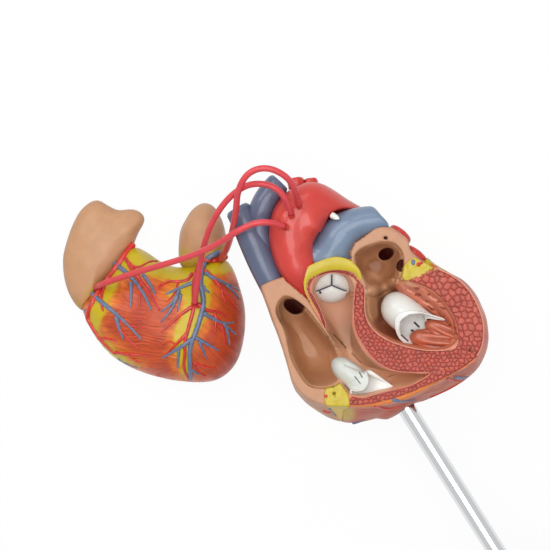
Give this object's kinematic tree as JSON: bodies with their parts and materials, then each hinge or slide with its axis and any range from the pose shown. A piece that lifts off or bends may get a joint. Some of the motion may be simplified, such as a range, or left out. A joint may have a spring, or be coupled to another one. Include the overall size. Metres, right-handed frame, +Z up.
{
  "type": "heart anatomy model",
  "caption": "Life-size teaching model of an opened human heart with a lift-off front wall, flexible bypass tubes and a rod stand.",
  "frame": {"origin": "middle of the flat patch on the back of the heart that rests on the table", "axes": "+Z up, square to the cut face; +X from the front wall's side to the apex side; +Y towards the great vessels"},
  "size_m": [0.3578, 0.3117, 0.1199],
  "materials": {
    "muscle": "glossy painted, salmon red muscle with dark grooves on the cut face",
    "atrium": "glossy painted, warm tan",
    "fat": "glossy painted, yellow",
    "aorta_red": "glossy painted, red",
    "vein_blue": "glossy painted, blue grey",
    "trunk_blue": "glossy painted, light blue grey",
    "valve_white": "satin, off white",
    "papillary": "glossy painted, orange brown",
    "wall_muscle": "glossy painted, orange red muscle and yellow fat",
    "tube_red": "smooth satin red tube",
    "rod_chrome": "mirror polished",
    "base_plastic": "glossy black",
    "steel": "bright",
    "rubber_black": "matt",
    "socket_plastic": "plain"
  },
  "bodies": {
    "heart": {"ventricle_casting": "muscle", "right_atrium_casting": "atrium", "left_atrium_casting": "atrium", "right_groove_fat": "fat", "left_groove_fat": "fat", "pulmonary_root_fat": "fat", "pulmonary_trunk": "trunk_blue", "aorta": "aorta_red", "superior_vena_cava": "vein_blue", "left_brachiocephalic_vein": "vein_blue", "inferior_vena_cava": "vein_blue", "left_pulmonary_vein_upper": "aorta_red", "left_pulmonary_vein_lower": "aorta_red", "right_pulmonary_vein_upper": "aorta_red", "right_pulmonary_vein_lower": "aorta_red", "brachiocephalic_artery": "aorta_red", "left_carotid_artery": "aorta_red", "left_subclavian_artery": "aorta_red", "ligamentum_arteriosum": "valve_white", "graft_ports_aorta": "aorta_red", "pulmonary_valve": "valve_white", "aortic_valve": "valve_white", "mitral_valve": "valve_white", "tricuspid_valve": "valve_white", "anterior_papillary_muscle": "papillary", "posterior_papillary_muscle": "papillary", "right_papillary_muscle": "papillary", "posterior_coronary_artery": "aorta_red", "middle_cardiac_vein": "vein_blue", "rod_socket": "socket_plastic", "bypass_tube_circumflex": "tube_red", "bypass_tube_anterior": "tube_red", "bypass_tube_right": "tube_red"},
    "front_wall": {"front_wall_casting": "wall_muscle", "right_auricle": "atrium", "left_auricle": "atrium", "locating_pins": "steel", "right_coronary_artery": "aorta_red", "anterior_descending_artery": "aorta_red", "circumflex_artery": "aorta_red", "great_cardiac_vein": "vein_blue", "right_ventricle_vein_upper": "vein_blue", "right_ventricle_vein_lower": "vein_blue", "graft_ports_wall": "aorta_red"},
    "collar": {"stand_collar": "rubber_black"},
    "stand": {"stand_rod": "rod_chrome", "stand_base": "base_plastic", "base_screw": "steel", "foot_pad": "rubber_black"}
  },
  "joints": [
    {"name": "front_wall_lift", "type": "slide", "parent": "heart", "child": "front_wall", "axis": [0, 0, 1], "range_m": [0, 0.06], "deforming": ["bypass_tube_circumflex", "bypass_tube_anterior", "bypass_tube_right"]},
    {"name": "stand_pull_out", "type": "slide", "parent": "heart", "child": "collar", "axis": [0.5234, -0.8377, 0.156], "range_m": [0, 0.03]},
    {"name": "stand_swivel", "type": "hinge", "parent": "collar", "child": "stand", "pos_m": [0.021, -0.059, 0.037], "axis": [0.5234, -0.8377, 0.156], "continuous": true}
  ]
}
